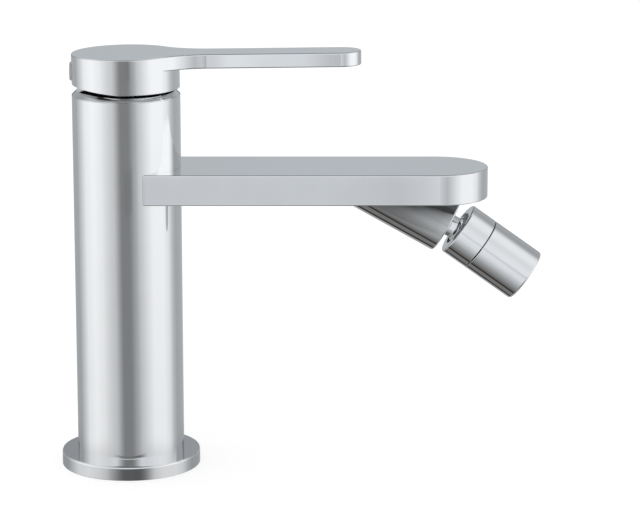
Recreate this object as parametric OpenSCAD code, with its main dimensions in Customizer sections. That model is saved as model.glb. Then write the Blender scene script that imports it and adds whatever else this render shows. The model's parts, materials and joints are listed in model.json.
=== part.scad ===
// Single-lever bidet mixer: upright body, flat spout, swivelling aerator and a lever that lifts and turns.
// Origin at the centre of the foot on the deck, +Z up, +X along the spout. Sizes in millimetres.

/* [Body] */
// Diameter of the upright body
body_d = 40; // [38.5:0.5:46]
// Height of the body, from the deck to the trim ring
body_h = 140.8; // [120:0.2:180]
// Fine bevel on the edges that meet at the trim ring, which shows as a seam
seam_bevel = 0.2; // [0.1:0.05:0.4]
// Step from the body's side in to its lower end, inside the foot flange
foot_step = 2; // [1.5:0.25:3]
// Diameter of the foot flange
flange_d = 52; // [48:0.2:60]
// Thickness of the foot flange
flange_t = 5.3; // [4:0.1:8]
// Rounding of the flange's upper edge
flange_round = 0.8; // [0.2:0.1:1.5]
// Width of the rubber ring under the foot
base_seal_w = 3; // [2:0.1:4]
// Thickness of the rubber ring under the foot
base_seal_t = 1.5; // [1:0.1:2.5]

/* [Water connections] */
// Tapping bore for the fixing stud's M8 thread
stud_bore = 6.8; // [5:0.1:8.5]
// Depth of the fixing stud's thread
stud_depth = 22; // [12:1:40]
// Distance of the fixing stud behind the body's axis
stud_back = 10; // [8:0.5:12]
// Tapping bore for the hoses' M10 fine threads
hose_bore = 9; // [7:0.1:10]
// Depth of the hose threads
hose_depth = 14; // [8:1:25]
// Distance of the hose threads in front of the body's axis
hose_front = 4.5; // [3:0.5:6]
// Bore of the hot and cold channels
channel_bore = 5.5; // [4:0.1:6]

/* [Spout] */
// Width of the flat spout
spout_w = 37.8; // [30:0.1:38]
// Thickness of the flat spout
spout_t = 11.4; // [10.5:0.1:16]
// Reach of the spout's round tip from the body's axis
spout_reach = 133.7; // [125:0.1:160]
// Rounding of the spout's edges
spout_edge = 0.5; // [0.3:0.1:1.5]
// Wall above and below the spout's waterway
spout_wall = 2.2; // [1.6:0.1:3]
// Wall at the sides of the spout's waterway
spout_side_wall = 3; // [2:0.1:6]
// Height of the cartridge seat above the middle of the spout
spout_below_seat = 5.05; // [4.8:0.05:10]
// Diameter of the spout's spigot in the body
spigot_d = 8; // [7:0.1:8.4]
// Length of the spout's spigot inside the body
spigot_len = 7.5; // [5:0.1:9]
// Bore of the spigot and of the way from the cartridge
spigot_bore = 5.4; // [4:0.1:6]

/* [Outlet] */
// Diameter of the slanted outlet under the spout
outlet_d = 22.6; // [19:0.1:24]
// Slope of the outlet below level
outlet_angle = 29.4; // [25:0.1:34]
// Distance of the outlet's end face behind the spout's tip
outlet_setback = 15.2; // [12:0.1:20]
// Drop of the outlet's end face below the spout
outlet_drop = 10.3; // [9.8:0.05:13]
// Rounding of the outlet's end edge
outlet_round = 0.5; // [0.2:0.1:1.2]
// Bore of the outlet's waterway
outlet_bore = 7; // [5:0.1:8]
// Diameter of the ball stud's thread
stud_thread_d = 10; // [9.2:0.1:12]
// Length of the ball stud's thread
stud_thread_len = 9; // [6:0.1:12]
// Thickness of the seal behind the ball stud
stud_seal_t = 1.2; // [0.8:0.1:2]

/* [Swivel and aerator] */
// Diameter of the ball
ball_d = 13; // [12:0.1:13.6]
// Distance of the ball's centre from the outlet's end face
ball_reach = 8.55; // [7.6:0.05:9.5]
// Diameter of the neck behind the ball
neck_d = 8.2; // [6.5:0.1:8.6]
// Bore through the ball stud
stud_way = 4.8; // [3:0.1:6]
// Length from the ball's centre to the flat on its front
ball_flat = 4.8; // [4:0.1:5.4]
// Wall of the slip ring around the ball
slip_wall = 1.2; // [0.9:0.05:1.3]
// Length of the slip ring behind the ball's centre
slip_back = 3.9; // [3:0.1:4.2]
// Length of the slip ring in front of the ball's centre
slip_front = 0.6; // [0.3:0.1:0.9]
// Slope of the aerator below the outlet's axis at rest
rest_tilt = 6.2; // [0:0.1:12]
// Wall of the swivel socket around the gland ring
socket_wall = 1.03; // [0.8:0.01:1.6]
// Length of the swivel socket behind the ball's centre
socket_back = 4; // [3.5:0.1:4.3]
// Length of the swivel socket in front of the ball's centre
socket_front = 6.1; // [5:0.1:8]
// Length of the socket's thread, inside the aerator housing
socket_thread_len = 5; // [4:0.1:7]
// Wall of the aerator housing around that thread
housing_wall = 1.3; // [1:0.05:1.35]
// Length of the aerator housing
housing_len = 20.6; // [18:0.1:30]
// Gap that shows as the joint line between socket and housing
joint_gap = 0.3; // [0.2:0.05:0.6]
// Rounding of the aerator's edges
aerator_edge = 0.6; // [0.2:0.1:1]
// Width of the lip that holds the insert at the housing's mouth
lip_w = 0.8; // [0.5:0.1:1.2]
// Length of that lip
lip_len = 2.7; // [1.5:0.1:4]
// Thickness of the seal on the front of the ball
ball_seal_t = 2.6; // [2:0.1:3]
// Distance of that seal from the ball's centre
ball_seal_at = 3; // [2.9:0.1:3.3]
// Thickness of the gland ring in front of the seal
gland_t = 3; // [2:0.1:3.5]
// Hole in the gland ring
gland_bore = 9.6; // [8:0.1:11]
// Thickness of the aerator's washer
washer_t = 1.4; // [1:0.1:2]
// Width of the aerator's washer
washer_w = 2.3; // [1.5:0.1:3]
// Thickness of the aerator's screen
screen_t = 0.5; // [0.4:0.1:0.8]
// Diameter of the holes in the screen
screen_hole_d = 1.4; // [0.8:0.1:1.6]
// Distance between the holes in the screen
screen_pitch = 2.1; // [1.9:0.1:2.3]
// Diameter of the jets in the insert
jet_d = 2.2; // [1.4:0.1:2.5]
// Distance between the jets in the insert
jet_pitch = 2.8; // [2.6:0.05:3]
// Depth of the insert's nose behind the housing's mouth
insert_inset = 0.6; // [0.3:0.1:1.2]

/* [Lever] */
// How far the round cap's side lies inside the body's side
cap_inset = 0.1; // [0:0.05:0.5]
// Height of the round cap
cap_h = 13.1; // [12:0.1:18]
// Gap between the trim ring and the cap
cap_gap = 0.6; // [0.5:0.1:3]
// Wall of the cap
cap_wall = 1.6; // [1.2:0.1:2]
// Width of the cap's lower lip, where its wall is bevelled inside
cap_lip = 0.9; // [0.4:0.1:1]
// Height of that bevel
cap_lip_h = 4; // [2:0.1:6]
// Thickness of the lever and of the cap's top
lever_t = 5.3; // [4:0.1:6]
// Width of the lever
lever_w = 15; // [10:0.1:18]
// Reach of the lever's round tip from the body's axis
lever_reach = 86.8; // [70:0.1:110]
// Radius of the curve that runs from the cap into the lever
lever_fillet = 26; // [10:0.5:36]
// How far that curve cuts past the cap's and the lever's sides
web_bite = 0.03; // [0.02:0.01:0.2]
// Rounding of the handle's edges
lever_edge = 0.5; // [0.2:0.1:0.9]
// Slope of the lever above level when shut
lever_rise = 0.65; // [0:0.05:2]
// Slope of the relief under the back of the cap
relief_angle = 6.1; // [3:0.1:8]
// Distance of the relief's start behind the body's axis
relief_back = 1; // [0:0.5:4]
// Diameter of the hub that takes the stem
hub_d = 16; // [13:0.5:17]
// Length of the hub below the cap's top plate
hub_len = 5; // [3.5:0.1:5.2]
// Length of the stem inside the cap's top plate
stem_into_plate = 1.9; // [1:0.1:2.5]
// Height of the fixing screw above the cap's lower edge
screw_up = 6.1; // [5.9:0.1:6.4]
// Diameter of the fixing screw
screw_d = 4; // [3:0.1:4.5]
// Width across flats of the fixing screw's socket
screw_hex = 2; // [1.5:0.1:2.5]
// Depth of the fixing screw's socket
screw_hex_depth = 2; // [1:0.1:2.5]
// Diameter of the cover button's head
cover_d = 7; // [6:0.1:8]
// How far the cover button stands out of the cap
cover_out = 0.7; // [0.4:0.1:1.5]
// Rounding of the cover button's rim
cover_round = 0.5; // [0.2:0.1:0.5]
// Diameter of the cover button's shank
cover_shank_d = 5.4; // [4.6:0.1:5.6]
// Depth of the seat for the cover button's head
cover_seat = 0.5; // [0.4:0.05:0.7]

/* [Cartridge] */
// Diameter of the cartridge
cartridge_d = 30.4; // [29.8:0.1:31]
// Wall of the cartridge housing
cartridge_wall = 2.6; // [2:0.1:3]
// Thickness of the cartridge's base
cartridge_base_t = 3.2; // [3:0.1:4.5]
// Thickness of the top of the cartridge housing
cartridge_top_t = 2.5; // [2:0.1:3.5]
// Diameter of the rotor's neck
rotor_neck_d = 18; // [17:0.1:19]
// Height of the rotor's neck above the cartridge
rotor_neck_up = 1; // [0.5:0.1:1.5]
// Thickness of the rotor's turning flange
rotor_t = 5.8; // [5.4:0.1:7]
// Height of the stem's pivot above the rotor's flange face
pivot_up = 3; // [2.9:0.05:3.3]
// Diameter of the pivot pin
pivot_d = 3; // [2.4:0.1:3.4]
// Clear length of the pivot pin inside the rotor at each end
pivot_inset = 1; // [0.5:0.1:2]
// Width of the square stem
stem_w = 7; // [6:0.1:7.2]
// Diameter of the stem's eye
stem_eye_d = 6; // [5:0.1:6]
// Diameter of the ball at the stem's lower end
finger_d = 4.4; // [3.6:0.1:4.6]
// Distance of that ball below the pivot
finger_arm = 4.8; // [4.6:0.05:4.9]
// Diameter of the finger above that ball
finger_neck_d = 3; // [2.4:0.1:3.2]
// Largest lift of the lever
lift_max = 20; // [12:1:22]
// Thickness of the disc carrier
carrier_t = 5; // [4.8:0.1:6]
// Width of the disc carrier between the rotor's cheeks
carrier_w = 15; // [13:0.1:16]
// Gap under the stem's ball in the carrier's pocket
pocket_gap = 0.1; // [0.05:0.05:0.3]
// Diameter of the moving ceramic disc and its carrier
moving_disc_d = 17.6; // [16:0.1:18.5]
// Thickness of the moving ceramic disc
moving_disc_t = 2.8; // [2.4:0.1:4]
// Diameter of the recess under the moving disc
mix_recess_d = 10; // [8:0.1:10.4]
// Depth of that recess
mix_recess_depth = 1.4; // [0.8:0.1:1.8]
// Distance of that recess behind the axis
mix_recess_back = 3; // [2.5:0.1:3.3]
// Thickness of the fixed ceramic disc
fixed_disc_t = 3.3; // [2.6:0.1:4.5]
// Diameter of the inlet holes in the fixed disc
disc_inlet_d = 4.4; // [3.6:0.1:4.6]
// Distance between the inlet holes in the fixed disc
disc_inlet_pitch = 12; // [11.6:0.1:12.6]
// Distance of the outlet hole behind the axis
outlet_back = 6; // [5.6:0.1:6.4]
// Width of the rubber rings in the cartridge
ring_w = 1.2; // [0.9:0.05:1.3]
// Thickness of the rubber rings in the cartridge
ring_t = 0.9; // [0.7:0.05:1]
// Wall of the cartridge's base outside the inlets' rubber rings
seat_edge = 1.14; // [0.8:0.02:1.6]
// Step from the cartridge's side out to the nut's thread
nut_step = 1.4; // [1:0.1:1.6]
// Thickness of the nut's threaded flange
nut_flange_t = 2; // [1.5:0.1:2.4]
// Total thickness of the nut
nut_t = 4; // [3.6:0.1:4.5]
// Diameter of the nut's upper collar
nut_collar_d = 26; // [24.5:0.1:26.4]
// Gap between the rotor's neck and the nut
neck_room = 1.2; // [0.8:0.1:1.5]
// Depth of the nut's collar below the body's top
nut_sink = 0.3; // [0.2:0.1:1]
// Number of spanner slots in the nut
nut_slots = 4; // [2:1:6]
// Width of the spanner slots
nut_slot_w = 3; // [2:0.1:4]
// Depth of the spanner slots
nut_slot_depth = 1.4; // [0.8:0.1:1.6]
// Length of the thread that the body has below the nut
nut_thread_run = 3; // [1:0.5:5]
// Height of the trim ring above the body
trim_h = 1.9; // [1:0.1:2.2]
// Width of the trim ring's bevel
trim_bevel = 1.7; // [1:0.1:2]
// Gap between the trim ring's skirt and the nut's flange
skirt_gap = 0.4; // [0.3:0.1:1]
// Gap between the trim ring and the nut's collar
trim_gap = 0.6; // [0.4:0.1:1.2]

/* [Clearances] */
// Radial clearance of parts that are pressed, screwed or brazed in
fit_gap = 0.05; // [0.02:0.01:0.1]
// Radial clearance of parts that turn in each other
running_gap = 0.06; // [0.03:0.01:0.1]
// Clearance of parts that slide or swing past each other
moving_gap = 0.3; // [0.2:0.05:0.5]
// Smallest clearance of the carrier and of the stem's finger in it
slide_gap = 0.08; // [0.06:0.01:0.12]

/* [Hidden] */
$fn = 96;
// How far a cut runs past the face it opens
over = 1;
body_r = body_d / 2;
foot_d = body_d - 2 * foot_step;
base_seal_r = (flange_d + foot_d) / 4;
chrome = "gainsboro";
brass = "goldenrod";
rubber = "dimgray";
white_plastic = "whitesmoke";
ceramic = "ivory";

// Heights of the cartridge, counted down from the top of the body
nut_top_z = body_h - nut_sink;
nut_z = nut_top_z - nut_t;
rotor_top_z = nut_z - cartridge_top_t - moving_gap;
rotor_z = rotor_top_z - rotor_t;
pivot_z = rotor_z + pivot_up;
carrier_top_z = rotor_z - moving_gap;
carrier_z = carrier_top_z - carrier_t;
moving_disc_z = carrier_z - moving_disc_t;
fixed_disc_z = moving_disc_z - fixed_disc_t;
seat_z = fixed_disc_z - cartridge_base_t;
disc_ring_z = fixed_disc_z - ring_t;
pocket_z = pivot_z - finger_arm - finger_d / 2 - pocket_gap;

// Widths of the cartridge, its nut and the trim ring, and the pitch of the channels that reach its base
cartridge_bore = cartridge_d - 2 * cartridge_wall;
outlet_ring_bore = spigot_bore + 2 * fit_gap;
inlet_r = cartridge_d / 2 - seat_edge - fit_gap - ring_w - channel_bore / 2;
hose_pitch = 2 * sqrt(pow(inlet_r, 2) - pow(hose_front, 2));
nut_d = cartridge_d + 2 * nut_step;
nut_bore = rotor_neck_d + 2 * neck_room;
trim_bore = nut_collar_d + 2 * trim_gap;
trim_skirt = nut_sink + nut_t - nut_flange_t - skirt_gap;

// Heights of the lever, counted up from the trim ring
trim_top_z = body_h + trim_h;
cap_z = trim_top_z + cap_gap;
cap_top_z = cap_z + cap_h;
plate_z = cap_top_z - lever_t;
hub_z = plate_z - hub_len;
stem_top_z = plate_z + stem_into_plate;
screw_z = cap_z + screw_up;
cap_r = body_r - cap_inset;
cap_d = 2 * cap_r;
lever_tip_r = lever_w / 2;

// Places of the spout and the outlet
spout_mid_z = seat_z - spout_below_seat;
spout_z = spout_mid_z - spout_t / 2;
spout_r = spout_w / 2;
spout_end_x = spout_reach - spout_r;
waterway_r = spout_r - spout_side_wall;
waterway_t = spout_t - 2 * spout_wall;
waterway_x = body_r + 2 * spout_side_wall + waterway_r;
outlet_reach = spout_reach - outlet_setback;
outlet_face_z = spout_z - outlet_drop;
ball_x = outlet_reach + ball_reach * cos(outlet_angle);
ball_z = outlet_face_z - ball_reach * sin(outlet_angle);
outlet_run = (spout_mid_z - outlet_face_z) / sin(outlet_angle);

// Radii of the swivel joint, from the ball outwards
ball_r = ball_d / 2;
slip_in_r = ball_r + running_gap;
slip_out_r = slip_in_r + slip_wall;
seat_r = slip_out_r + running_gap;
gland_r = seat_r + fit_gap;
thread_r = gland_r + socket_wall;
aerator_r = thread_r + fit_gap + housing_wall;
gland_at = ball_seal_at + ball_seal_t;
housing_at = socket_front + joint_gap;
housing_end = housing_at + housing_len;
washer_at = socket_front + socket_thread_len;
screen_at = washer_at + washer_t;
insert_at = screen_at + screen_t;
lip_at = housing_end - lip_len;
insert_r = thread_r - fit_gap;
mouth_r = thread_r + fit_gap - lip_w;

// Rectangle from the axis to width r, with its outer corners rounded
module half_profile(r, h, top, bottom) {
    union() {
        translate([0, bottom]) square([r, h - top - bottom]);
        square([r - bottom, h]);
        translate([r - top, h - top]) circle(top);
        translate([r - bottom, bottom]) circle(bottom);
        translate([0, h / 2]) square([r - top, h / 2]);
    }
}

// Round plate with rounded edges
module round_plate(r, h, top, bottom) {
    rotate_extrude() half_profile(r, h, top, bottom);
}

// Flat bar along +X from the axis, with rounded edges and a full round end at x = reach
module round_bar(r, h, reach, edge) {
    rotate([90, 0, 90]) linear_extrude(reach - r) {
        half_profile(r, h, edge, edge);
        mirror([1, 0]) half_profile(r, h, edge, edge);
    }
    translate([reach - r, 0, 0]) rotate([0, 0, -90])
        rotate_extrude(angle = 180) half_profile(r, h, edge, edge);
}

module tube(r_out, r_in, h) {
    difference() {
        cylinder(r = r_out, h = h);
        translate([0, 0, -over]) cylinder(r = r_in, h = h + 2 * over);
    }
}

// The ball stud's axis is local +Z, with the ball's centre at the origin
module on_stud() {
    translate([ball_x, 0, ball_z]) rotate([0, 90 + outlet_angle, 0]) children();
}

// The aerator's axis is local +Z, with the ball's centre at the origin
module on_aerator() {
    translate([ball_x, 0, ball_z]) rotate([0, 90 + outlet_angle + rest_tilt, 0]) children();
}

// The two hose threads and the channels above them
module at_inlets(pitch) {
    for (side = [-1, 1]) translate([hose_front, side * pitch / 2, 0]) children();
}

module mixer_body() {
    color(chrome) difference() {
        union() {
            cylinder(d = foot_d, h = flange_t + over);
            translate([0, 0, flange_t]) cylinder(d = body_d, h = body_h - flange_t - seam_bevel);
            translate([0, 0, body_h - seam_bevel])
                cylinder(r1 = body_r, r2 = body_r - seam_bevel, h = seam_bevel);
        }
        translate([0, 0, seat_z]) cylinder(d = cartridge_d + 2 * fit_gap, h = body_h);
        translate([0, 0, nut_z - nut_thread_run]) cylinder(d = nut_d + 2 * fit_gap, h = body_h);
        at_inlets(hose_pitch) {
            translate([0, 0, -over]) cylinder(d = hose_bore, h = hose_depth + over);
            cylinder(d = channel_bore, h = seat_z + over);
        }
        translate([-stud_back, 0, -over]) cylinder(d = stud_bore, h = stud_depth + over);
        translate([-outlet_back, 0, spout_mid_z]) {
            cylinder(d = spigot_bore, h = seat_z - spout_mid_z + over);
            rotate([0, 90, 0]) cylinder(d = spigot_bore, h = outlet_back + body_r);
        }
        translate([body_r - spigot_len - fit_gap, 0, spout_mid_z])
            rotate([0, 90, 0]) cylinder(d = spigot_d + 2 * fit_gap, h = body_r);
    }
}

module base_flange() {
    color(chrome) difference() {
        round_plate(flange_d / 2, flange_t, flange_round, seam_bevel);
        translate([0, 0, -over]) cylinder(d = foot_d + 2 * fit_gap, h = flange_t + 2 * over);
        translate([0, 0, -over]) tube(base_seal_r + base_seal_w / 2 + fit_gap,
            base_seal_r - base_seal_w / 2 - fit_gap, base_seal_t + over);
    }
}

module base_seal() {
    color(rubber) tube(base_seal_r + base_seal_w / 2, base_seal_r - base_seal_w / 2, base_seal_t);
}

// The outlet under the spout, cut off level inside the spout's bar
module outlet_barrel() {
    intersection() {
        translate([outlet_reach, 0, outlet_face_z]) rotate([0, 90 + outlet_angle, 0])
            translate([0, 0, -2 * outlet_run])
            round_plate(outlet_d / 2, 2 * outlet_run, outlet_round, seam_bevel);
        translate([0, -outlet_d, outlet_face_z - outlet_d])
            cube([spout_reach, 2 * outlet_d, spout_mid_z - outlet_face_z + outlet_d]);
    }
}

module spout() {
    color(chrome) difference() {
        union() {
            difference() {
                union() {
                    translate([0, 0, spout_z]) round_bar(spout_r, spout_t, spout_reach, spout_edge);
                    outlet_barrel();
                }
                cylinder(r = body_r + fit_gap, h = 2 * body_h);
            }
            translate([body_r - spigot_len, 0, spout_mid_z])
                rotate([0, 90, 0]) cylinder(d = spigot_d, h = spigot_len + spout_side_wall);
        }
        translate([0, 0, spout_mid_z]) rotate([0, 90, 0]) cylinder(d = spigot_bore, h = waterway_x);
        translate([waterway_x, 0, spout_mid_z - waterway_t / 2]) {
            cylinder(r = waterway_r, h = waterway_t);
            translate([spout_end_x - waterway_x, 0, 0]) cylinder(r = waterway_r, h = waterway_t);
            translate([0, -waterway_r, 0])
                cube([spout_end_x - waterway_x, 2 * waterway_r, waterway_t]);
        }
        translate([outlet_reach, 0, outlet_face_z]) rotate([0, 90 + outlet_angle, 0]) {
            translate([0, 0, -outlet_run]) cylinder(d = outlet_bore, h = outlet_run);
            translate([0, 0, -stud_thread_len - stud_seal_t])
                cylinder(d = stud_thread_d + 2 * fit_gap, h = stud_thread_len + stud_seal_t + over);
        }
    }
}

module trim_ring() {
    skirt_r = nut_d / 2;
    color(chrome) translate([0, 0, body_h]) rotate_extrude() polygon([
        [trim_bore / 2, -trim_skirt], [skirt_r, -trim_skirt], [skirt_r, 0], [body_r - seam_bevel, 0],
        [body_r, seam_bevel], [body_r - trim_bevel, trim_h], [trim_bore / 2, trim_h]]);
}

module retaining_nut() {
    color(brass) translate([0, 0, nut_z]) difference() {
        union() {
            cylinder(d = nut_d, h = nut_flange_t);
            cylinder(d = nut_collar_d, h = nut_t);
        }
        translate([0, 0, -over]) cylinder(d = nut_bore, h = nut_t + 2 * over);
        for (i = [0:nut_slots - 1]) rotate([0, 0, i * 360 / nut_slots])
            translate([0, -nut_slot_w / 2, nut_t - nut_slot_depth])
            cube([nut_d, nut_slot_w, nut_slot_depth + over]);
    }
}

// Rubber ring around a bore of the cartridge's base
module bore_ring(x, y, z, bore) {
    color(rubber) translate([x, y, z]) tube(bore / 2 + ring_w, bore / 2, ring_t);
}

// Pockets of the three rubber rings on one face of the cartridge's base
module ring_pockets(pitch, bore) {
    at_inlets(pitch) cylinder(r = bore / 2 + ring_w + fit_gap, h = ring_t);
    translate([-outlet_back, 0, 0]) cylinder(r = outlet_ring_bore / 2 + ring_w + fit_gap, h = ring_t);
}

module hot_base_seal() {
    bore_ring(hose_front, -hose_pitch / 2, seat_z, channel_bore);
}

module cold_base_seal() {
    bore_ring(hose_front, hose_pitch / 2, seat_z, channel_bore);
}

module outlet_base_seal() {
    bore_ring(-outlet_back, 0, seat_z, outlet_ring_bore);
}

module hot_disc_seal() {
    bore_ring(hose_front, -disc_inlet_pitch / 2, disc_ring_z, disc_inlet_d);
}

module cold_disc_seal() {
    bore_ring(hose_front, disc_inlet_pitch / 2, disc_ring_z, disc_inlet_d);
}

module outlet_disc_seal() {
    bore_ring(-outlet_back, 0, disc_ring_z, outlet_ring_bore);
}

module cartridge_base() {
    inlet_shift = (hose_pitch - disc_inlet_pitch) / 2;
    color(white_plastic) translate([0, 0, seat_z]) difference() {
        cylinder(d = cartridge_d, h = cartridge_base_t);
        ring_pockets(hose_pitch, channel_bore);
        translate([0, 0, cartridge_base_t - ring_t]) ring_pockets(disc_inlet_pitch, disc_inlet_d);
        translate([-outlet_back, 0, 0]) cylinder(d = spigot_bore, h = cartridge_base_t);
        for (side = [0, 1]) mirror([0, side, 0])
            translate([hose_front - disc_inlet_d / 2, (disc_inlet_pitch - disc_inlet_d) / 2, ring_t])
            cube([disc_inlet_d, disc_inlet_d + inlet_shift, cartridge_base_t - 2 * ring_t]);
    }
}

module fixed_disc() {
    color(ceramic) translate([0, 0, fixed_disc_z]) difference() {
        cylinder(d = cartridge_bore - 2 * fit_gap, h = fixed_disc_t);
        at_inlets(disc_inlet_pitch)
            translate([0, 0, -over]) cylinder(d = disc_inlet_d, h = fixed_disc_t + 2 * over);
        translate([-outlet_back, 0, -over]) cylinder(d = spigot_bore, h = fixed_disc_t + 2 * over);
    }
}

module moving_disc() {
    color(ceramic) translate([0, 0, moving_disc_z]) difference() {
        cylinder(d = moving_disc_d, h = moving_disc_t);
        translate([-mix_recess_back, 0, -over]) cylinder(d = mix_recess_d, h = mix_recess_depth + over);
    }
}

module disc_carrier() {
    pocket_w = finger_d + 2 * slide_gap;
    color("lightgray") translate([0, 0, carrier_z]) difference() {
        intersection() {
            cylinder(d = moving_disc_d, h = carrier_t);
            translate([-moving_disc_d, -carrier_w / 2, 0]) cube([2 * moving_disc_d, carrier_w, carrier_t]);
        }
        translate([-pocket_w / 2, -pocket_w / 2, pocket_z - carrier_z])
            cube([pocket_w, pocket_w, carrier_t]);
    }
}

module cartridge_housing() {
    housing_h = nut_z - fixed_disc_z;
    color(white_plastic) translate([0, 0, fixed_disc_z]) difference() {
        cylinder(d = cartridge_d, h = housing_h);
        translate([0, 0, -over]) cylinder(d = cartridge_bore, h = housing_h - cartridge_top_t + over);
        cylinder(d = rotor_neck_d + 2 * running_gap, h = housing_h + over);
    }
}

// Room for the square stem to swing from shut to fully lifted
module stem_slot() {
    half = stem_w / 2 / cos(lift_max) + moving_gap;
    back = half + (nut_z + rotor_neck_up - pivot_z) * tan(lift_max);
    front = half + pivot_up * tan(lift_max);
    translate([-back, -stem_w / 2 - slide_gap, 0])
        cube([back + front, stem_w + 2 * slide_gap, body_h + cap_h]);
}

module cartridge_rotor() {
    cheek_z = carrier_z + moving_gap;
    rotor_r = cartridge_bore / 2 - running_gap;
    color("darkgray") difference() {
        union() {
            translate([0, 0, cheek_z]) cylinder(r = rotor_r, h = rotor_top_z - cheek_z);
            translate([0, 0, rotor_z]) cylinder(d = rotor_neck_d, h = nut_z + rotor_neck_up - rotor_z);
        }
        translate([-cartridge_d, -carrier_w / 2 - slide_gap, cheek_z - over])
            cube([2 * cartridge_d, carrier_w + 2 * slide_gap, rotor_z - cheek_z + over]);
        stem_slot();
        translate([0, cartridge_d / 2, pivot_z]) rotate([90, 0, 0])
            cylinder(d = pivot_d + fit_gap, h = cartridge_d);
    }
}

module pivot_pin() {
    pin_len = cartridge_bore - 2 * running_gap - 2 * pivot_inset;
    color("silver") translate([0, pin_len / 2, pivot_z]) rotate([90, 0, 0])
        cylinder(d = pivot_d, h = pin_len);
}

module lever_stem() {
    color("silver") difference() {
        union() {
            translate([0, stem_w / 2, pivot_z]) rotate([90, 0, 0]) cylinder(d = stem_eye_d, h = stem_w);
            translate([-stem_w / 2, -stem_w / 2, pivot_z]) cube([stem_w, stem_w, stem_top_z - pivot_z]);
            translate([0, 0, pivot_z - finger_arm]) {
                sphere(d = finger_d);
                cylinder(d = finger_neck_d, h = finger_arm);
            }
        }
        translate([0, stem_w, pivot_z]) rotate([90, 0, 0])
            cylinder(r = pivot_d / 2 + running_gap, h = 2 * stem_w);
    }
}

// Tilts the handle's outer form by its slope at rest
module risen() {
    translate([0, 0, cap_z]) rotate([0, -lever_rise, 0]) children();
}

// Web between the cap and the lever on one side, hollowed by the curve that joins them
module lever_web() {
    centre_y = lever_tip_r + lever_fillet - web_bite;
    centre_r = cap_r + lever_fillet - web_bite;
    centre_x = sqrt(pow(centre_r, 2) - pow(centre_y, 2));
    touch = cap_r / centre_r;
    difference() {
        linear_extrude(lever_t) polygon([[0, 0], [centre_x * touch, centre_y * touch],
            [centre_x, centre_y * touch], [centre_x, 0]]);
        translate([centre_x, centre_y, 0]) rotate_extrude() difference() {
            square([lever_fillet + lever_edge, lever_t]);
            translate([2 * lever_fillet, 0]) mirror([1, 0])
                half_profile(lever_fillet, lever_t, lever_edge, lever_edge);
        }
    }
}

// Hollow of the cap, with the bevel above its lip
module cap_hollow() {
    inner_r = cap_r - cap_wall;
    lip_r = cap_r - cap_lip;
    rotate_extrude() polygon([[0, -over], [lip_r, -over], [lip_r, 0], [inner_r, cap_lip_h],
        [inner_r, cap_h - lever_t], [0, cap_h - lever_t]]);
}

module lever_handle() {
    color(chrome) difference() {
        union() {
            difference() {
                risen() {
                    round_plate(cap_r, cap_h, lever_edge, seam_bevel);
                    translate([0, 0, cap_h - lever_t]) {
                        round_bar(lever_tip_r, lever_t, lever_reach, lever_edge);
                        lever_web();
                        mirror([0, 1, 0]) lever_web();
                    }
                }
                risen() cap_hollow();
                risen() translate([-relief_back, 0, 0]) rotate([0, relief_angle, 0])
                    translate([-2 * cap_d, -cap_d, -cap_h]) cube([2 * cap_d, 2 * cap_d, cap_h]);
            }
            translate([0, 0, hub_z]) cylinder(d = hub_d, h = hub_len + lever_t / 2);
        }
        translate([-stem_w / 2 - fit_gap, -stem_w / 2 - fit_gap, hub_z - over])
            cube([stem_w + 2 * fit_gap, stem_w + 2 * fit_gap, stem_top_z + fit_gap - hub_z + over]);
        translate([-cap_d, 0, screw_z]) rotate([0, 90, 0]) {
            cylinder(d = screw_d + 2 * fit_gap, h = cap_d);
            cylinder(d = cover_shank_d + 2 * fit_gap, h = cap_d - hub_d / 2 - over);
            cylinder(d = cover_d + 2 * fit_gap, h = cap_d - cap_r + cover_seat);
        }
    }
}

module grub_screw() {
    screw_len = hub_d / 2 - stem_w / 2;
    color("dimgray") translate([-hub_d / 2, 0, screw_z]) rotate([0, 90, 0]) difference() {
        cylinder(d = screw_d, h = screw_len);
        translate([0, 0, -over]) cylinder(d = screw_hex / cos(30), h = screw_hex_depth + over, $fn = 6);
    }
}

module screw_cover() {
    head_t = cover_out + cover_seat;
    color("silver") translate([-cap_r + cover_seat, 0, screw_z]) rotate([0, -90, 0]) {
        round_plate(cover_d / 2, head_t, cover_round, seam_bevel);
        translate([0, 0, -cap_wall]) cylinder(d = cover_shank_d, h = cap_wall + head_t / 2);
    }
}

module stud_seal() {
    color(rubber) on_stud() translate([0, 0, -ball_reach - stud_thread_len - stud_seal_t])
        tube(stud_thread_d / 2, stud_way / 2 + fit_gap, stud_seal_t);
}

module ball_stud() {
    color(chrome) on_stud() difference() {
        union() {
            translate([0, 0, -ball_reach - stud_thread_len])
                cylinder(d = stud_thread_d, h = stud_thread_len);
            translate([0, 0, -ball_reach - over]) cylinder(d = neck_d, h = ball_reach + over);
            intersection() {
                sphere(r = ball_r);
                translate([0, 0, -ball_d]) cylinder(d = 2 * ball_d, h = ball_d + ball_flat);
            }
        }
        translate([0, 0, -ball_reach - stud_thread_len - over])
            cylinder(d = stud_way, h = ball_reach + stud_thread_len + ball_d);
    }
}

module slip_ring() {
    color(rubber) on_stud() difference() {
        intersection() {
            sphere(r = slip_out_r);
            translate([0, 0, -slip_back]) cylinder(r = 2 * ball_r, h = slip_back + slip_front);
        }
        sphere(r = slip_in_r);
    }
}

module swivel_socket() {
    color(chrome) on_aerator() difference() {
        union() {
            translate([0, 0, -socket_back])
                round_plate(aerator_r, socket_back + socket_front, seam_bevel, aerator_edge);
            cylinder(r = thread_r, h = socket_front + socket_thread_len);
        }
        sphere(r = seat_r);
        cylinder(r = gland_r, h = socket_front + socket_thread_len + over);
    }
}

module ball_seal() {
    color(rubber) on_aerator() difference() {
        translate([0, 0, ball_seal_at]) cylinder(r = seat_r, h = ball_seal_t);
        sphere(r = slip_in_r);
    }
}

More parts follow.
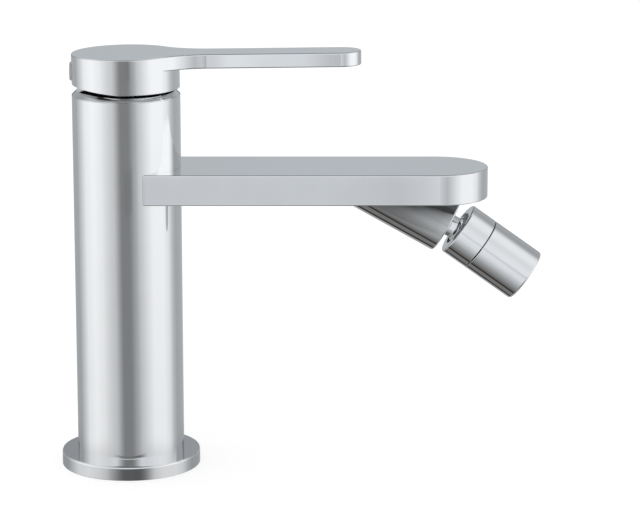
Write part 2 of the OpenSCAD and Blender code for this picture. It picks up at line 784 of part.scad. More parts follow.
module gland_ring() {
    color(brass) on_aerator() translate([0, 0, gland_at]) tube(seat_r, gland_bore / 2, gland_t);
}

module aerator_housing() {
    color(chrome) on_aerator() difference() {
        translate([0, 0, housing_at]) round_plate(aerator_r, housing_len, aerator_edge, seam_bevel);
        translate([0, 0, housing_at - over])
            cylinder(r = thread_r + fit_gap, h = housing_len - lip_len + over);
        translate([0, 0, housing_at]) cylinder(r = mouth_r, h = housing_len + over);
    }
}

module aerator_washer() {
    color(rubber) on_aerator() translate([0, 0, washer_at]) tube(insert_r, insert_r - washer_w, washer_t);
}

// Holes on a ring grid: one in the middle and six more in each ring outwards
module ring_grid(rings, pitch) {
    children();
    for (ring = [1:rings], i = [0:6 * ring - 1])
        rotate([0, 0, i * 60 / ring]) translate([ring * pitch, 0, 0]) children();
}

module aerator_screen() {
    rings = floor((insert_r - washer_w / 2) / screen_pitch);
    color("silver") on_aerator() translate([0, 0, screen_at]) difference() {
        cylinder(r = insert_r, h = screen_t);
        ring_grid(rings, screen_pitch)
            translate([0, 0, -over]) cylinder(d = screen_hole_d, h = screen_t + 2 * over);
    }
}

module aerator_insert() {
    nose_end = housing_end - insert_inset;
    rings = floor((mouth_r - jet_d / 2) / jet_pitch);
    color(white_plastic) on_aerator() difference() {
        union() {
            translate([0, 0, insert_at]) cylinder(r = insert_r, h = lip_at - insert_at);
            translate([0, 0, insert_at]) cylinder(r = mouth_r - fit_gap, h = nose_end - insert_at);
        }
        ring_grid(rings, jet_pitch)
            translate([0, 0, insert_at - over]) cylinder(d = jet_d, h = housing_len);
    }
}

mixer_body();
base_flange();
base_seal();
spout();
trim_ring();
retaining_nut();
cartridge_base();
cartridge_housing();
hot_base_seal();
cold_base_seal();
outlet_base_seal();
hot_disc_seal();
cold_disc_seal();
outlet_disc_seal();
fixed_disc();
moving_disc();
disc_carrier();
cartridge_rotor();
pivot_pin();
lever_stem();
lever_handle();
grub_screw();
screw_cover();
stud_seal();
ball_stud();
slip_ring();
swivel_socket();
ball_seal();
gland_ring();
aerator_housing();
aerator_washer();
aerator_screen();
aerator_insert();
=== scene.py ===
# %% [markdown]
# # A chromed bidet mixer
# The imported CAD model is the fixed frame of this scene: every solid is already in its place, in metres,
# with +Z up and the spout along +X. Nothing of it is moved here. The lesson sets up the studio in which
# polished chrome shows its shape, gives each piece the finish that it has on the real mixer, and weaves
# the wire screen of the aerator, which the CAD model only has as a plate with holes.

# %% Load the frame
import json
import math

import bpy
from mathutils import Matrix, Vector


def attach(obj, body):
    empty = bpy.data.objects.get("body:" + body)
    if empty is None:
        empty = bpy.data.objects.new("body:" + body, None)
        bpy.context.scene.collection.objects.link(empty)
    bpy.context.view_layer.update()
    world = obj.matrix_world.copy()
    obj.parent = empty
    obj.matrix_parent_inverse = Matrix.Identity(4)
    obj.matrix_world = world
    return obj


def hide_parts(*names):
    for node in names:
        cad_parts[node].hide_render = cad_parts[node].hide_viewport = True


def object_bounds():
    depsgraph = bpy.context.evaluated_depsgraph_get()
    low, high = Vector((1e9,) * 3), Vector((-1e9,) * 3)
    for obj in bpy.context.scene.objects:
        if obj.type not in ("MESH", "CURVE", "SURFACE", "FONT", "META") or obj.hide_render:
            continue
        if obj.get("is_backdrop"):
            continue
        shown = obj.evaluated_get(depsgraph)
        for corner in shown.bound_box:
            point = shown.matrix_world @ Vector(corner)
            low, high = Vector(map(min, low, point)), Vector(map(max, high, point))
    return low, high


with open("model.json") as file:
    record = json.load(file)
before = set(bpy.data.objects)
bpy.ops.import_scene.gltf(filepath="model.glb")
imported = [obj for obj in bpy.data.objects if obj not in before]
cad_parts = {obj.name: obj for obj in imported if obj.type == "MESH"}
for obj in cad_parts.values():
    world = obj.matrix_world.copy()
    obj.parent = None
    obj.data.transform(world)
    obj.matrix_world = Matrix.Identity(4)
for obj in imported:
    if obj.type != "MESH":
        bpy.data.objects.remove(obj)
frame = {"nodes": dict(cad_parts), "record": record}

cad_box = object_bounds()
nodes = frame["nodes"]
scene = bpy.context.scene
MM = 0.001
print("pieces in the frame:", len(nodes))

# %% [markdown]
# ## Writing shader maths
# A finish is a small network of nodes. Wiring it by hand in Python is long and hard to read, so one class
# wraps the output of a node and lets plus, minus, times and so on add the Math nodes. Every other kind of
# node comes from its one method, which takes the node's type, its settings and the values of its sockets.

# %% A wire between shader nodes
class Wire:
    """One output of a node, which can be used in sums as a number can."""

    def __init__(self, tree, socket):
        self.tree = tree
        self.socket = socket

    @classmethod
    def node(cls, tree, kind, settings=None, sockets=None, output=0):
        """Add a node. Its settings may hold the stops and the curve of a colour ramp."""
        made = tree.nodes.new(kind)
        for name, value in (settings or {}).items():
            if name == "stops":
                cls.fill_ramp(made.color_ramp, value)
            elif name == "curve":
                made.color_ramp.interpolation = value
            else:
                setattr(made, name, value)
        for name, value in (sockets or {}).items():
            if isinstance(value, Wire):
                tree.links.new(value.socket, made.inputs[name])
            else:
                made.inputs[name].default_value = value
        return cls(tree, made.outputs[output])

    @staticmethod
    def fill_ramp(ramp, stops):
        """Grey levels at places from 0 to 1."""
        while len(ramp.elements) < len(stops):
            ramp.elements.new(1.0)
        for element, (place, level) in zip(ramp.elements, stops):
            element.position = place
            element.color = (level, level, level, 1.0)

    def output(self, name):
        """Another output of the same node."""
        return Wire(self.tree, self.socket.node.outputs[name])

    def math(self, operation, first, second):
        """The result of a Math node."""
        return Wire.node(self.tree, "ShaderNodeMath", {"operation": operation}, {0: first, 1: second})

    def __add__(self, other):
        return self.math("ADD", self, other)

    def __sub__(self, other):
        return self.math("SUBTRACT", self, other)

    def __rsub__(self, other):
        return self.math("SUBTRACT", other, self)

    def __mul__(self, other):
        return self.math("MULTIPLY", self, other)

    def __truediv__(self, other):
        return self.math("DIVIDE", self, other)

    def __pow__(self, other):
        return self.math("POWER", self, other)

    def __gt__(self, other):
        return self.math("GREATER_THAN", self, other)

    def __lt__(self, other):
        return self.math("LESS_THAN", self, other)


# %% [markdown]
# ## The camera
# The mixer was photographed from its side with a long lens, a little from above: the spout points to the
# right and the top faces show as narrow ellipses. A long lens far away keeps the upright edges parallel.
# The place and the lens were found by fitting the outlines of the solids to those in the picture.

# %% Set the camera
SENSOR_WIDTH = 36.0
LENS = 160.04
CAMERA_PLACE = (0.07148, -1.03608, 0.31432)
LOOK_DOWN = math.radians(12.742)

lens = bpy.data.cameras.new("side_camera")
lens.sensor_fit = "HORIZONTAL"
lens.sensor_width = SENSOR_WIDTH
lens.lens = LENS
camera = bpy.data.objects.new("side_camera", lens)
camera.location = CAMERA_PLACE
camera.rotation_euler = (math.pi / 2 - LOOK_DOWN, 0.0, 0.0)
scene.collection.objects.link(camera)
scene.camera = camera
scene.view_settings.view_transform = "Standard"
print("camera lens", LENS, "mm, looking down by", round(math.degrees(LOOK_DOWN), 2), "degrees")

# %% [markdown]
# ## The studio around it
# Polished chrome has hardly a colour of its own: it shows what stands around it. So the studio is drawn
# in the world's shader, by the direction in which a mirrored ray leaves. Going round the mixer there is a
# large soft box on each side, the right one with the sharper far edge, a light front and grey walls
# behind. Grey drapes hang on both sides of the camera. Overhead it is dim.

# %% The walls and the drapes
# Brightness against the angle around the mixer: 0 is the camera's side, 90 the spout's side
WALLS = [
    (-180, 0.56), (-155, 0.43), (-128, 0.45), (-110, 0.73), (-96, 1.00), (-74, 1.10), (-48, 0.95),
    (38, 0.94), (60, 1.07), (84, 1.08), (100, 0.93), (113, 0.60), (125, 0.46), (152, 0.48), (180, 0.56),
]
# The same against the angle above level
HEIGHTS = [
    (-90, 0.70), (-18, 0.91), (-8, 1.05), (0, 1.00), (12, 0.98), (30, 0.88), (46, 0.90), (60, 0.36),
    (90, 0.28),
]
# How much the grey drapes take away, around the mixer and by height
DRAPES = [
    (-52, 0.0), (-31, 0.25), (-3, 0.0), (3, 0.0), (10, 0.28), (22, 0.40), (33, 0.23), (40, 0.12),
    (56, 0.0),
]
DRAPE_HEIGHTS = [(-26, 0.0), (-19, 1.0), (-6, 1.0), (2, 0.0)]
WHOLE_TURN, HALF_TURN = 2 * math.pi, math.pi


def by_angle(tree, angle, reach, levels):
    """Brightness that follows an angle in radians over its reach, from levels given in degrees."""
    stops = [(degrees / math.degrees(reach) + 0.5, level) for degrees, level in levels]
    return Wire.node(tree, "ShaderNodeValToRGB", {"stops": stops}, {0: angle / reach + 0.5})


world = bpy.data.worlds.new("studio")
scene.world = world
world.use_nodes = True
tree = world.node_tree
tree.nodes.clear()
direction = Wire.node(tree, "ShaderNodeTexCoord", output="Generated")
parts = Wire.node(tree, "ShaderNodeSeparateXYZ", sockets={0: direction})
east, north, upward = (parts.output(axis) for axis in "XYZ")
around = Wire.node(tree, "ShaderNodeMath", {"operation": "ARCTAN2"}, {0: east, 1: 0.0 - north})
above = Wire.node(tree, "ShaderNodeMath", {"operation": "ARCSINE"}, {0: upward})
walls = by_angle(tree, around, WHOLE_TURN, WALLS) * by_angle(tree, above, HALF_TURN, HEIGHTS)
drapes = by_angle(tree, around, WHOLE_TURN, DRAPES) * by_angle(tree, above, HALF_TURN, DRAPE_HEIGHTS)
walls = walls * (1.0 - drapes)
print("levels around the mixer:", len(WALLS), "and by height:", len(HEIGHTS))

# %% [markdown]
# ## What the undersides see
# The round outlet and the aerator hang over the floor, so their lower sides mirror it: a light patch at
# the front on the left, dark gaps on the left and behind with a brownish strip between them, and dark
# again at the front on the right. The dim parts of the walls are a little blue, those of the floor brown.

# %% The floor in the mirror, and the colours
# Brightness around the mixer, and the heights at which the floor takes over from the walls
FLOOR = [
    (-180, 0.42), (-162, 0.40), (-156, 0.03), (-147, 0.03), (-141, 0.20), (-103, 0.20), (-98, 0.03),
    (-84, 0.03), (-76, 0.14), (-60, 0.18), (-35, 0.33), (-21, 0.48), (-10, 0.45), (-4, 0.12), (14, 0.10),
    (44, 0.10), (62, 0.60), (115, 0.60), (180, 0.42),
]
FLOOR_HEIGHTS = [(-45, 1.0), (-25, 0.0)]
# How blue the walls are, around the mixer
BLUENESS = [
    (-180, 1.0), (-150, 0.7), (-120, 0.4), (-60, 0.1), (-20, 0.4), (0, 0.6), (20, 0.5), (60, 0.1),
    (120, 0.4), (150, 0.7), (180, 1.0),
]
COOL = (0.945, 0.998, 1.055, 1.0)
# The floor is brown where it is dark, and pale from a brightness on
WARM, WARM_BELOW = (1.10, 1.0, 0.90, 1.0), 0.3
PALE = (0.975, 1.0, 1.02, 1.0)
WHITE = (1.0, 1.0, 1.0, 1.0)


def blend(tree, factor, first, second):
    """A colour between two others."""
    return Wire.node(tree, "ShaderNodeMix", {"data_type": "RGBA"}, {0: factor, 6: first, 7: second}, 2)


def tinted(tree, level, colour):
    """A brightness in a colour."""
    return Wire.node(tree, "ShaderNodeVectorMath", {"operation": "SCALE"}, {0: colour, "Scale": level})


blueness = by_angle(tree, around, WHOLE_TURN, BLUENESS)
floor_level = by_angle(tree, around, WHOLE_TURN, FLOOR)
is_floor = by_angle(tree, above, HALF_TURN, FLOOR_HEIGHTS)
wall_light = tinted(tree, walls, blend(tree, blueness, WHITE, COOL))
floor_light = tinted(tree, floor_level, blend(tree, floor_level / WARM_BELOW, WARM, PALE))
room = blend(tree, is_floor, wall_light, floor_light)
print("levels of the floor:", len(FLOOR), "and of the blue tint:", len(BLUENESS))

# %% [markdown]
# The camera itself sees plain white behind the mixer, and matt surfaces are lit evenly from all round.
# Only mirrored rays, and those that pass through something clear, see the drawn room.

# %% Send each kind of ray to its own background
ray = Wire.node(tree, "ShaderNodeLightPath")
is_camera, is_glossy, is_through = (
    ray.output(name) for name in ("Is Camera Ray", "Is Glossy Ray", "Is Transmission Ray")
)
seen = blend(tree, is_camera, room, WHITE)
light = blend(tree, is_camera + is_glossy + is_through, WHITE, seen)
background = Wire.node(tree, "ShaderNodeBackground", sockets={"Color": light})
tree.links.new(background.socket, tree.nodes.new("ShaderNodeOutputWorld").inputs["Surface"])
print("nodes that draw the studio:", len(tree.nodes))

# %% [markdown]
# ## The floor
# The mixer stands on a plain white sheet that runs far beyond the picture. It keeps a faint shadow around
# the foot. Mirrored rays pass it by, since the room that they see is drawn above, and from below it is
# clear, so that the underside of the foot can be looked at.

# %% Lay the floor
FLOOR_HALF = 4.0
SHEET_COLOUR = (0.4, 0.4, 0.4, 1.0)
SHEET_GLOW = 0.66


def new_tree(name):
    """A material with an empty network, and its output."""
    material = bpy.data.materials.new(name)
    material.use_nodes = True
    tree = material.node_tree
    tree.nodes.clear()
    return material, tree, tree.nodes.new("ShaderNodeOutputMaterial").inputs["Surface"]


def new_piece(name, places, faces):
    """A mesh object made of corners and faces."""
    mesh = bpy.data.meshes.new(name)
    mesh.from_pydata(places, [], faces)
    piece = bpy.data.objects.new(name, mesh)
    scene.collection.objects.link(piece)
    return piece


SQUARE = ((0, 0), (1, 0), (1, 1), (0, 1))
ONE_FACE = [(0, 1, 2, 3)]
corners = [((2 * u - 1) * FLOOR_HALF, (2 * v - 1) * FLOOR_HALF, 0.0) for u, v in SQUARE]
floor = new_piece("floor", corners, ONE_FACE)
floor.visible_glossy = False
material, tree, surface = new_tree("white_sheet")
paper = Wire.node(tree, "ShaderNodeBsdfDiffuse", sockets={"Color": SHEET_COLOUR})
glow = Wire.node(tree, "ShaderNodeEmission", sockets={"Strength": SHEET_GLOW})
sheet = Wire.node(tree, "ShaderNodeAddShader", sockets={0: paper, 1: glow})
from_below = Wire.node(tree, "ShaderNodeNewGeometry", output="Backfacing")
clear = Wire.node(tree, "ShaderNodeBsdfTransparent")
sheet = Wire.node(tree, "ShaderNodeMixShader", sockets={0: from_below, 1: sheet, 2: clear})
tree.links.new(sheet.socket, surface)
floor.data.materials.append(material)
floor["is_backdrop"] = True
print("floor:", 2 * FLOOR_HALF, "m square")

# %% [markdown]
# ## Cards for single faces
# A photographer of chrome hangs grey cards around the object, so that each face mirrors what suits it.
# Here a card is a flat sheet that only mirrored rays meet. It is partly clear: its cover runs along one
# edge and its fade along the other, so that its borders stay soft. A far card is seen by one flat face
# only, because two faces that look the same way from different places meet the far plane apart.

# %% Hang a card
UNSEEN_BY = ("visible_camera", "visible_diffuse", "visible_shadow", "visible_transmission")
FULL = [(0.0, 1.0), (1.0, 1.0)]


def hang_card(name, corner, side, rise, shade, cover, fade=FULL, curve="LINEAR"):
    """Hang a card from a corner and its two edges, given in millimetres."""
    places = [[MM * (c + u * s + v * r) for c, s, r in zip(corner, side, rise)] for u, v in SQUARE]
    card = new_piece(name, places, ONE_FACE)
    chart = card.data.uv_layers.new(name="chart")
    for point, place in zip(chart.data, SQUARE):
        point.uv = place
    for flag in UNSEEN_BY:
        setattr(card, flag, False)
    material, tree, surface = new_tree(name)
    on_card = Wire.node(tree, "ShaderNodeTexCoord", output="UV")
    parts = Wire.node(tree, "ShaderNodeSeparateXYZ", sockets={0: on_card})
    across, upward = (
        Wire.node(tree, "ShaderNodeValToRGB", {"stops": stops, "curve": curve}, {0: parts.output(axis)})
        for stops, axis in ((cover, "X"), (fade, "Y"))
    )
    clear = Wire.node(tree, "ShaderNodeBsdfTransparent")
    sheet = Wire.node(tree, "ShaderNodeEmission", sockets={"Color": (shade, shade, shade, 1.0)})
    mixed = Wire.node(tree, "ShaderNodeMixShader", sockets={0: across * upward, 1: clear, 2: sheet})
    tree.links.new(mixed.socket, surface)
    card.data.materials.append(material)
    card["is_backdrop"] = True
    print("card:", name)


# %% [markdown]
# The dark stripe down the middle of the body, and the one on the foot, are the camera's own side of the
# room. Both come from narrow cards close in front, dark in the middle and soft on both sides.

# %% The stripes of the body and of the foot
STRIPE_SOFT = [(0.0, 0.0), (0.42, 0.92), (0.58, 0.92), (1.0, 0.0)]
FOOT_SOFT = [(0.0, 0.0), (0.40, 0.97), (0.60, 0.97), (1.0, 0.0)]
hang_card(
    "stripe", corner=(-7.7, -24, 5.4), side=(16, 0, 0), rise=(0, 0, 152.6),
    shade=0.19, cover=STRIPE_SOFT, curve="EASE",
)
hang_card(
    "foot_stripe", corner=(-14, -31, -6), side=(32, 0, 0), rise=(0, 0, 10.3),
    shade=0.10, cover=FOOT_SOFT, curve="EASE",
)

# %% [markdown]
# The flat front of the spout and that of the lever mirror the wall behind the camera, each its own part
# of it. Their far cards cover more where the photo shows these faces greyer.

# %% The fronts of the spout and of the lever
# How far away these two hang, and how bright they are
FAR = 600
FRONT_SHADE = 0.05
SPOUT_COVER = [
    (0.0, 0.30), (0.57, 0.27), (0.73, 0.30), (0.84, 0.34), (0.90, 0.28), (0.96, 0.18), (1.0, 0.1),
]
LEVER_COVER = [
    (0.0, 0.10), (0.07, 0.27), (0.085, 0.27), (0.106, 0.10), (0.13, 0.08), (0.20, 0.17), (0.29, 0.17),
    (0.33, 0.33), (0.37, 0.43), (0.41, 0.46), (0.45, 0.38), (0.52, 0.16), (0.62, 0.0),
]
hang_card(
    "spout_front", corner=(-35, -FAR, -24), side=(183, 0, 0), rise=(0, 0, 26),
    shade=FRONT_SHADE, cover=SPOUT_COVER,
)
hang_card(
    "lever_front", corner=(-10, -FAR, 55), side=(250, 0, 0), rise=(0, 0, 15),
    shade=FRONT_SHADE, cover=LEVER_COVER,
)

# %% [markdown]
# Five more. The round outlet hangs in shade: one card stands in front of it and one lies right under the
# spout. The foot sees a dim wall low behind it, and a painted shadow on the sheet around it. The right
# soft box is brighter high up, where the top of the body sees it by way of the spout.

# %% The outlet, the foot and the top of the right soft box
UNDER_SPOUT = 102.4
OUTLET_RIGHT, OUTLET_FRONT = 127.6, -14.0
OUTLET_LENGTH, OUTLET_FALL = 50.0, 21.0
OUTLET_SLOPE = math.radians(29.4)
# The card in front of the outlet leans as the outlet's end does
lean = OUTLET_FALL * math.sin(OUTLET_SLOPE)
drop = OUTLET_FALL * math.cos(OUTLET_SLOPE)
hang_card(
    "outlet_shade", corner=(OUTLET_RIGHT - lean - OUTLET_LENGTH, OUTLET_FRONT, UNDER_SPOUT - drop),
    side=(OUTLET_LENGTH, 0, 0), rise=(lean, 0, drop), shade=0.02,
    cover=[(0.0, 0.95), (0.6, 0.95), (0.85, 0.85), (0.96, 0.62), (1.0, 0.58)],
    fade=[(0.0, 0.0), (0.25, 0.45), (0.5, 0.58), (0.65, 0.70), (0.8, 0.85), (0.9, 0.97), (1.0, 1.0)],
)
hang_card(
    "spout_shade", corner=(62, -15, UNDER_SPOUT), side=(64, 0, 0), rise=(0, 30, 0), shade=0.05,
    cover=[(0.0, 0.0), (0.25, 0.9), (0.78, 0.9), (1.0, 0.6)],
)
hang_card(
    "low_wall", corner=(-700, FAR, 118), side=(1400, 0, 0), rise=(0, 0, 92), shade=0.12,
    cover=[(0.0, 0.65), (0.38, 0.65), (0.47, 0.42), (0.53, 0.42), (0.62, 0.65), (1.0, 0.65)],
)
# A dark square on the sheet, soft at its edges: a painted shadow around the foot that only mirrors see
SHADE_SOFT = [(0.0, 0.0), (0.28, 0.45), (0.72, 0.45), (1.0, 0.0)]
hang_card(
    "foot_shade", corner=(-60, -60, 0.2), side=(120, 0, 0), rise=(0, 120, 0), shade=0.10,
    cover=SHADE_SOFT, fade=SHADE_SOFT, curve="EASE",
)
hang_card(
    "box_top", corner=(FAR, -300, 192), side=(0, 640, 0), rise=(0, 0, 88), shade=1.30,
    cover=[(0.0, 0.0), (0.23, 1.0), (0.67, 1.0), (1.0, 0.0)],
    fade=[(0.0, 0.0), (0.12, 1.0), (0.8, 1.0), (1.0, 0.0)],
)

# %% [markdown]
# ## Finishes
# Every finish starts from the place on the piece, in metres from the frame's origin, so a grain of half a
# millimetre has that size on every piece and travels with it. The aerator hangs at a slope, so for its
# pieces the place is first turned into the aerator's own axes, with Z along its bore.

# %% Grain, lines and relief
BALL_PLACE = (0.125949, 0.0, 0.088053)
AERATOR_SLOPE = 35.6
AERATOR_TURN = (0.0, math.radians(90.0 + AERATOR_SLOPE), 0.0)
FINE_DETAIL = 2.0
# At scale 1 the wave node repeats after this length
WAVE_LENGTH = math.pi / 10
LINE_WOBBLE = 1.5


def place_on(tree, tilted):
    """The place on a piece, along the aerator's own axes where it is tilted."""
    place = Wire.node(tree, "ShaderNodeTexCoord", output="Object")
    if tilted:
        axes = {"Vector": place, "Location": BALL_PLACE, "Rotation": AERATOR_TURN}
        place = Wire.node(tree, "ShaderNodeMapping", {"vector_type": "TEXTURE"}, axes)
    return place


def grain(tree, place, size, detail=FINE_DETAIL):
    """Random spots of about a size in metres, from 0 to 1."""
    sockets = {"Vector": place, "Scale": 1.0 / size, "Detail": detail}
    return Wire.node(tree, "ShaderNodeTexNoise", {}, sockets)


def cut_lines(tree, place, pitch):
    """Fine rings across the Z axis, as a turning tool leaves them."""
    sockets = {"Vector": place, "Scale": WAVE_LENGTH / pitch, "Distortion": LINE_WOBBLE}
    sockets["Detail"] = FINE_DETAIL
    return Wire.node(tree, "ShaderNodeTexWave", {"bands_direction": "Z"}, sockets, "Fac")


def spread(level, low, high):
    """A level from 0 to 1, laid out between two values."""
    return level * (high - low) + low


def relief(tree, height, depth):
    """Small hills of a depth in metres."""
    return Wire.node(tree, "ShaderNodeBump", {}, {"Height": height, "Distance": depth})


def off_axis(tree, place):
    """Distance from the Z axis."""
    parts = Wire.node(tree, "ShaderNodeSeparateXYZ", sockets={0: place})
    east, north = parts.output("X"), parts.output("Y")
    return (east * east + north * north) ** 0.5


print("the aerator slopes down by", AERATOR_SLOPE, "degrees")

# %% [markdown]
# ### Polished chrome
# The brass is polished, then plated with nickel and a thin layer of chromium. It is nearly a mirror. What
# polishing leaves is a very shallow orange peel, and patches that are a shade duller than others.

# %% Chrome plate
CHROME_DEEP, CHROME_PALE = (0.785, 0.795, 0.805, 1.0), (0.815, 0.825, 0.835, 1.0)
CHROME_ROUGH = (0.030, 0.060)
PATCH, PEEL, PEEL_DEPTH = 8 * MM, 1.5 * MM, 0.0006 * MM


def polished_chrome(tree, place):
    """A mirror with duller patches."""
    patches = grain(tree, place, PATCH)
    peel = grain(tree, place, PEEL)
    return Wire.node(tree, "ShaderNodeBsdfPrincipled", {}, {
        "Base Color": blend(tree, patches, CHROME_DEEP, CHROME_PALE),
        "Metallic": 1.0,
        "Roughness": spread(patches, *CHROME_ROUGH),
        "Normal": relief(tree, peel, PEEL_DEPTH),
    })


print("chrome roughness:", CHROME_ROUGH)

# %% [markdown]
# ### Turned brass and steel
# The nut and the gland ring are turned from brass bar, the pins and screws from stainless steel. Both
# show the rings of the tool as fine lines, which also change how rough the metal is.

# %% Turned metal
BRASS_DEEP, BRASS_PALE = (0.50, 0.33, 0.12, 1.0), (0.74, 0.55, 0.27, 1.0)
STEEL_DEEP, STEEL_PALE = (0.46, 0.46, 0.47, 1.0), (0.64, 0.64, 0.65, 1.0)
BRASS_ROUGH, STEEL_ROUGH = (0.20, 0.42), (0.18, 0.38)
TOOL_PITCH, TOOL_DEPTH = 0.22 * MM, 0.004 * MM
STAIN = 3 * MM


def turned_metal(deep, pale, rough):
    """A finish with the rings of a turning tool."""
    def fill(tree, place):
        rings = cut_lines(tree, place, TOOL_PITCH)
        stain = grain(tree, place, STAIN)
        return Wire.node(tree, "ShaderNodeBsdfPrincipled", {}, {
            "Base Color": blend(tree, stain, deep, pale),
            "Metallic": 1.0,
            "Roughness": spread(rings * 0.5 + stain * 0.5, *rough),
            "Normal": relief(tree, rings, TOOL_DEPTH),
        })
    return fill


turned_brass = turned_metal(BRASS_DEEP, BRASS_PALE, BRASS_ROUGH)
turned_steel = turned_metal(STEEL_DEEP, STEEL_PALE, STEEL_ROUGH)
print("a ring of the tool every", round(TOOL_PITCH / MM, 2), "mm")

# %% [markdown]
# ### Inside the castings
# Plating doesn't reach into hollows: inside the cap of the lever, and on the thread in the joint of the
# aerator, the cast metal is bare and dull. Its near-black colour is painted shade for these hollows, and
# in the joint it shows as a black line around the aerator.

# %% Bare cast metal
# Near-black: painted shade in the cap's hollow and in the gap of the aerator's joint, over bare metal
CAST_SHADE_DEEP, CAST_SHADE_PALE = (0.010, 0.010, 0.011, 1.0), (0.035, 0.034, 0.034, 1.0)
CAST_METAL, CAST_ROUGH = 0.3, (0.65, 0.9)
CAST_GRAIN, CAST_DETAIL, CAST_DEPTH = 0.6 * MM, 4.0, 0.03 * MM


def casting_in_painted_shade(tree, place):
    """Bare dull metal with the grain of the mould's sand, near-black as painted shade."""
    sand = grain(tree, place, CAST_GRAIN, CAST_DETAIL)
    return Wire.node(tree, "ShaderNodeBsdfPrincipled", {}, {
        "Base Color": blend(tree, sand, CAST_SHADE_DEEP, CAST_SHADE_PALE),
        "Metallic": CAST_METAL,
        "Roughness": spread(sand, *CAST_ROUGH),
        "Normal": relief(tree, sand, CAST_DEPTH),
    })


print("casting grain:", round(CAST_GRAIN / MM, 2), "mm")

# %% [markdown]
# ### Rubber, plastics and ceramic
# Seals are moulded from black rubber with a dull skin. The cartridge is moulded from white and grey
# plastic with the fine spark grain of its mould. The small cover of the screw is a smooth beige grey. The
# two discs of the cartridge are hard ceramic, lapped flat and smooth.

# %% Moulded and lapped finishes
CLOUD = 5 * MM
SKIN_DETAIL = 3.0


def moulded(deep, pale, rough, size, depth):
    """A finish with faint clouds and a skin of a grain size and depth."""
    def fill(tree, place):
        clouds = grain(tree, place, CLOUD)
        skin = grain(tree, place, size, SKIN_DETAIL)
        return Wire.node(tree, "ShaderNodeBsdfPrincipled", {}, {
            "Base Color": blend(tree, clouds, deep, pale),
            "Roughness": spread(skin, *rough),
            "Normal": relief(tree, skin, depth),
        })
    return fill


black_rubber = moulded(
    deep=(0.016, 0.016, 0.017, 1.0), pale=(0.034, 0.034, 0.036, 1.0), rough=(0.62, 0.85),
    size=0.4 * MM, depth=0.010 * MM,
)
white_plastic = moulded(
    deep=(0.76, 0.76, 0.74, 1.0), pale=(0.82, 0.82, 0.80, 1.0), rough=(0.36, 0.52),
    size=0.3 * MM, depth=0.006 * MM,
)
grey_plastic = moulded(
    deep=(0.33, 0.34, 0.36, 1.0), pale=(0.40, 0.41, 0.43, 1.0), rough=(0.38, 0.55),
    size=0.3 * MM, depth=0.006 * MM,
)
cover_plastic = moulded(
    deep=(0.38, 0.37, 0.345, 1.0), pale=(0.43, 0.42, 0.395, 1.0), rough=(0.26, 0.40),
    size=0.5 * MM, depth=0.003 * MM,
)
lapped_ceramic = moulded(
    deep=(0.86, 0.85, 0.81, 1.0), pale=(0.92, 0.91, 0.87, 1.0), rough=(0.10, 0.22),
    size=0.2 * MM, depth=0.001 * MM,
)
print("clouds under the skin:", round(CLOUD / MM, 2), "mm")

# %% [markdown]
# ## Dressing the pieces
# The record of the part names one of these finishes for every piece. Four pieces have two: the body is
# machined brass in its bore and chromed outside. Inside the lever's cap, and on the thread of the socket
# and of the aerator's housing, the metal is bare and painted near-black as shade. The distance from the
# axis tells which, and the height with it.

# %% Finishes by name
FINISHES = {
    "chrome": polished_chrome, "brass": turned_brass, "steel": turned_steel, "black_rubber": black_rubber,
    "white_plastic": white_plastic, "grey_plastic": grey_plastic, "plug_plastic": cover_plastic,
    "ceramic": lapped_ceramic,
}
BODY_BORE = 19.3 * MM
CAP_BORE, CAP_CEILING = 18.9 * MM, 151.05 * MM
THREAD, THREAD_FROM, THREAD_TO = 9.9 * MM, 3.0 * MM, 20.0 * MM


def height_of(tree, place):
    """How far a place is along the Z axis."""
    return Wire.node(tree, "ShaderNodeSeparateXYZ", sockets={0: place}).output("Z")


def inside_body(tree, place):
    """1 in the bore of the body, 0 outside."""
    return off_axis(tree, place) < BODY_BORE


def inside_cap(tree, place):
    """1 in the hollow of the lever's cap."""
    height = height_of(tree, place)
    return (off_axis(tree, place) < CAP_BORE) * (height < CAP_CEILING)


def inside_thread(tree, place):
    """1 in the threaded joint of the aerator."""
    height = height_of(tree, place)
    return (off_axis(tree, place) < THREAD) * (height > THREAD_FROM) * (height < THREAD_TO)


# The bore's brass is a real finish; the near-black of the other three is painted shade
INSIDE_FINISH_AND_SHADE = {
    "mixer_body": (turned_brass, inside_body),
    "lever_handle": (casting_in_painted_shade, inside_cap),
    "swivel_socket": (casting_in_painted_shade, inside_thread),
    "aerator_housing": (casting_in_painted_shade, inside_thread),
}
print("finishes:", ", ".join(FINISHES))

# %% Make each material once and lay it on
tilted_pieces = set(frame["record"]["behaviour"]["bodies"]["aerator"])
made = {}


def material_for(slot, node):
    """The material of a slot on a node, made when it is first asked for."""
    tilted = node in tilted_pieces
    inner = INSIDE_FINISH_AND_SHADE.get(node)
    name = slot + ("_tilted" if tilted else "") + ("_" + node if inner else "")
    if name not in made:
        material, tree, surface = new_tree(name)
        place = place_on(tree, tilted)
        shader = FINISHES[slot](tree, place)
        if inner:
            fill, is_inside = inner
            hollow = fill(tree, place)
            sockets = {0: is_inside(tree, place), 1: shader, 2: hollow}
            shader = Wire.node(tree, "ShaderNodeMixShader", {}, sockets)
        tree.links.new(shader.socket, surface)
        made[name] = material
    return made[name]


slots = {part["node"]: part["material_slot"] for part in frame["record"]["subparts"]}
for node, slot in slots.items():
    for holder in nodes[node].material_slots:
        holder.material = material_for(slot, node)
print("materials:", sorted(made))

# %% [markdown]
# ## The wire screen of the aerator
# A screen of woven stainless wire lies on top of the aerator's insert and holds back grit. Each wire runs
# over one crossing wire and under the next, and a pressed rim holds the disc together. A rule makes it:
# the wires lie at equal distances, each as long as its chord of the disc, and the height of a wire follows
# the product of two waves, one for each direction. The crossing wires take the same rule with the other
# sign.

